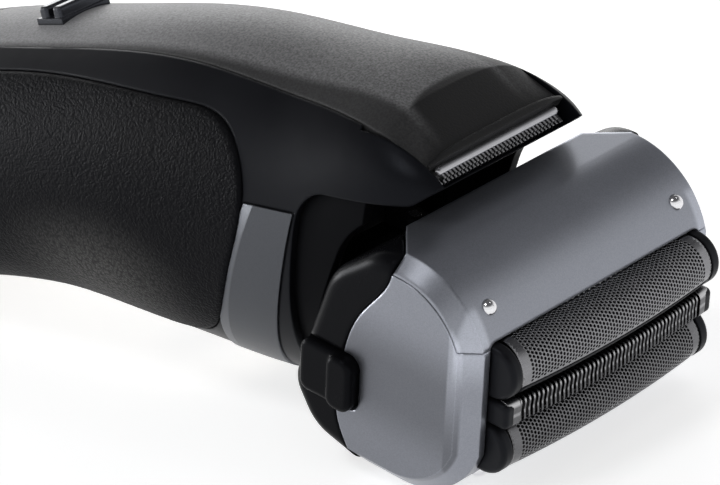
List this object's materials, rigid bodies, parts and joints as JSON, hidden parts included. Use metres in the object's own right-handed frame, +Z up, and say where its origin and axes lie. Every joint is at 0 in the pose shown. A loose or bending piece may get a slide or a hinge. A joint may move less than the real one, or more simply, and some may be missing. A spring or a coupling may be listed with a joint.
{
  "type": "electric shaver",
  "caption": "Cordless foil shaver lying on its face: arched handle with grip pads, sliding hair trimmer, and a tilting head with floating foils in a lift-off frame.",
  "frame": {"origin": "centre of the part's footprint on the table it lies on, face down", "axes": "+X along the handle to the shaving head, +Y to the handle's left side, +Z up through the trimmer"},
  "size_m": [0.1658, 0.0598, 0.0572],
  "materials": {
    "body_black": "satin black polymer",
    "cover_silver": "satin silver paint on polymer",
    "grip_rubber": "grained soft-touch elastomer",
    "frame_grey": "metallic grey paint on polymer",
    "trimmer_grey": "sand-textured polymer",
    "black_plastic": "moulded polymer",
    "steel": "bright steel",
    "foil_steel": "perforated electroformed foil",
    "chrome": "polished",
    "brass": "plain",
    "rubber": "plain",
    "board_green": "circuit laminate",
    "cell_wrap": "shrink wrap",
    "clear": "clear light guide",
    "copper": "enamelled winding",
    "magnet": "plated magnet"
  },
  "bodies": {
    "handle": {"main_housing": "body_black", "front_cover": "cover_silver", "right_grip": "grip_rubber", "left_grip": "grip_rubber", "neck_band": "frame_grey", "tail_cap": "body_black", "tail_gasket": "rubber", "inlet_socket": "black_plastic", "inlet_pins": "brass", "inner_chassis": "black_plastic", "battery_cell": "cell_wrap", "battery_tabs": "steel", "circuit_board": "board_green", "board_parts": "black_plastic", "tact_switch": "black_plastic", "button_bezel": "chrome", "light_pipe": "clear", "case_screws": "steel", "neck_mount": "black_plastic", "swing_pin": "steel", "neck_skirt": "rubber"},
    "power_button": {"power_button": "cover_silver"},
    "trimmer": {"trimmer_cover": "trimmer_grey", "trimmer_carriage": "black_plastic", "slide_shoe": "black_plastic", "trimmer_screws": "steel", "trimmer_knob": "body_black", "trimmer_comb": "steel"},
    "trimmer_blade": {"trimmer_cutter": "steel"},
    "yoke": {"head_yoke": "black_plastic", "tilt_pins": "steel"},
    "head": {"head_base": "body_black", "guide_rods": "steel", "motor_core": "magnet", "motor_coil": "copper"},
    "left_release": {"left_release": "body_black"},
    "right_release": {"right_release": "body_black"},
    "drive": {"drive_mover": "black_plastic", "drive_magnets": "magnet"},
    "foil_frame": {"frame_top": "frame_grey", "frame_body": "frame_grey", "frame_studs": "chrome", "cassette_frame": "black_plastic"},
    "upper_foil_unit": {"upper_foil": "foil_steel", "upper_holder": "black_plastic"},
    "upper_cutter": {"upper_inner_cutter": "steel"},
    "middle_foil_unit": {"middle_foil": "foil_steel", "middle_holder": "black_plastic"},
    "middle_cutter": {"middle_inner_cutter": "steel"},
    "lower_foil_unit": {"lower_foil": "foil_steel", "lower_holder": "black_plastic"},
    "lower_cutter": {"lower_inner_cutter": "steel"}
  },
  "joints": [
    {"name": "trimmer_slide", "type": "slide", "parent": "handle", "child": "trimmer", "axis": [1, 0, 0], "range_m": [0, 0.01]},
    {"name": "trimmer_cut", "type": "slide", "parent": "trimmer", "child": "trimmer_blade", "axis": [0, 1, 0], "range_m": [-0.0008, 0.0008]},
    {"name": "power_press", "type": "slide", "parent": "handle", "child": "power_button", "axis": [0, 0, 1], "range_m": [0, 0.0008], "stiffness_N_per_m": 300, "springref_m": -0.0008},
    {"name": "head_swing", "type": "hinge", "parent": "handle", "child": "yoke", "pos_m": [0.04181, 0, 0.02366], "axis": [0.225, 0, 0.9744], "range_deg": [-5, 5], "stiffness_Nm_per_rad": 0.6},
    {"name": "head_tilt", "type": "hinge", "parent": "yoke", "child": "head", "pos_m": [0.04181, 0, 0.02366], "axis": [0, 1, 0], "range_deg": [-4, 10], "stiffness_Nm_per_rad": 1.5},
    {"name": "release_left_press", "type": "slide", "parent": "head", "child": "left_release", "axis": [0, -1, 0], "range_m": [0, 0.0015], "stiffness_N_per_m": 400, "springref_m": -0.0008},
    {"name": "release_right_press", "type": "slide", "parent": "head", "child": "right_release", "axis": [0, 1, 0], "range_m": [0, 0.0015], "stiffness_N_per_m": 400, "springref_m": -0.0008},
    {"name": "drive_slide", "type": "slide", "parent": "head", "child": "drive", "axis": [0, 1, 0], "range_m": [-0.0012, 0.0012]},
    {"name": "frame_lift", "type": "slide", "parent": "head", "child": "foil_frame", "axis": [0.9744, 0, -0.225], "range_m": [0, 0.03]},
    {"name": "upper_float", "type": "slide", "parent": "foil_frame", "child": "upper_foil_unit", "axis": [-0.9744, 0, 0.225], "range_m": [0, 0.002], "stiffness_N_per_m": 300, "springref_m": -0.0008},
    {"name": "upper_cut", "type": "slide", "parent": "upper_foil_unit", "child": "upper_cutter", "axis": [0, 1, 0], "range_m": [-0.0012, 0.0012]},
    {"name": "middle_float", "type": "slide", "parent": "foil_frame", "child": "middle_foil_unit", "axis": [-0.9744, 0, 0.225], "range_m": [0, 0.002], "stiffness_N_per_m": 300, "springref_m": -0.0008},
    {"name": "middle_cut", "type": "slide", "parent": "middle_foil_unit", "child": "middle_cutter", "axis": [0, 1, 0], "range_m": [-0.0012, 0.0012]},
    {"name": "lower_float", "type": "slide", "parent": "foil_frame", "child": "lower_foil_unit", "axis": [-0.9744, 0, 0.225], "range_m": [0, 0.002], "stiffness_N_per_m": 300, "springref_m": -0.0008},
    {"name": "lower_cut", "type": "slide", "parent": "lower_foil_unit", "child": "lower_cutter", "axis": [0, 1, 0], "range_m": [-0.0012, 0.0012]}
  ],
  "couplings": [
    {"joint": "trimmer_cut", "follows": "drive_slide", "ratio": 0.66667},
    {"joint": "upper_cut", "follows": "drive_slide", "ratio": 1},
    {"joint": "middle_cut", "follows": "drive_slide", "ratio": 1},
    {"joint": "lower_cut", "follows": "drive_slide", "ratio": 1}
  ]
}
